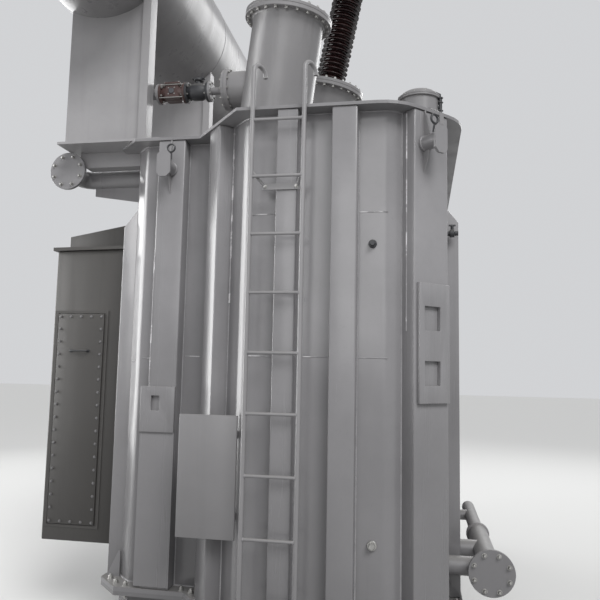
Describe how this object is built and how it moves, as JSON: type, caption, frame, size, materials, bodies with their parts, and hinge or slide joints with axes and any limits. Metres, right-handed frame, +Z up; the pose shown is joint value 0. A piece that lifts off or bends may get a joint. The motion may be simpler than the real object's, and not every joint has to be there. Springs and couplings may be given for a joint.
{
  "type": "power transformer",
  "caption": "Oil-filled power transformer: ribbed bell tank on a flanged tray, leaning turrets, bushings, conservator, relay line, headers and ladder.",
  "frame": {"origin": "underside of the middle skid on the floor, below the middle of the tank's plan", "axes": "+Z up, +Y from the ladder end towards the far end of the tank, +X to the right as seen facing the ladder end"},
  "size_m": [3.884, 5.066, 6.5011],
  "materials": {
    "tank_paint": "satin grey-green paint",
    "base_paint": "satin grey-green paint",
    "conservator_paint": "satin grey paint",
    "fittings_paint": "satin grey paint",
    "box_paint": "satin grey paint",
    "relay_paint": "semi-gloss red-brown paint",
    "valve_paint": "semi-gloss dark grey paint",
    "glazed_porcelain": "glossy dark brown glaze on porcelain",
    "bushing_metal": "machined"
  },
  "bodies": {
    "root": {"base_plate": "base_paint", "bell_flange": "tank_paint", "bell_tank": "tank_paint", "bushing_b": "glazed_porcelain", "bushing_b_cap": "bushing_metal", "bushing_b_foot": "tank_paint", "cable_box": "box_paint", "cable_box_hood": "box_paint", "cable_box_panel": "box_paint", "cable_box_roof": "box_paint", "conservator_front_end": "conservator_paint", "conservator_rear_end": "conservator_paint", "conservator_shell": "conservator_paint", "conservator_support_1": "fittings_paint", "conservator_support_2": "fittings_paint", "conservator_support_3": "fittings_paint", "corner_pad": "fittings_paint", "corner_rib": "tank_paint", "cover": "tank_paint", "front_wall": "tank_paint", "gas_relay": "relay_paint", "ladder": "fittings_paint", "left_pad": "fittings_paint", "left_rib": "tank_paint", "left_rib_doubler": "fittings_paint", "left_skid": "base_paint", "left_wall": "tank_paint", "low_turret": "tank_paint", "lower_header": "tank_paint", "lower_tray": "base_paint", "middle_rib_a": "tank_paint", "middle_rib_b": "tank_paint", "middle_skid": "base_paint", "mounting_plate": "fittings_paint", "rear_corner_rib_left": "tank_paint", "rear_corner_rib_right": "tank_paint", "rear_rib_1": "tank_paint", "rear_rib_2": "tank_paint", "rear_rib_3": "tank_paint", "rear_wall": "tank_paint", "relay_elbow": "tank_paint", "relay_pipe": "tank_paint", "relay_valve": "valve_paint", "right_skid": "base_paint", "right_wall": "tank_paint", "rim_flange": "tank_paint", "step_rib": "tank_paint", "tray_flange": "tank_paint", "trunnion_front_left": "tank_paint", "trunnion_front_right": "tank_paint", "trunnion_rear_left": "tank_paint", "trunnion_rear_right": "tank_paint", "turret_a": "tank_paint", "turret_a_blank": "tank_paint", "turret_b": "tank_paint", "turret_c": "tank_paint", "turret_c_blank": "tank_paint", "upper_header": "tank_paint"}
  },
  "joints": []
}
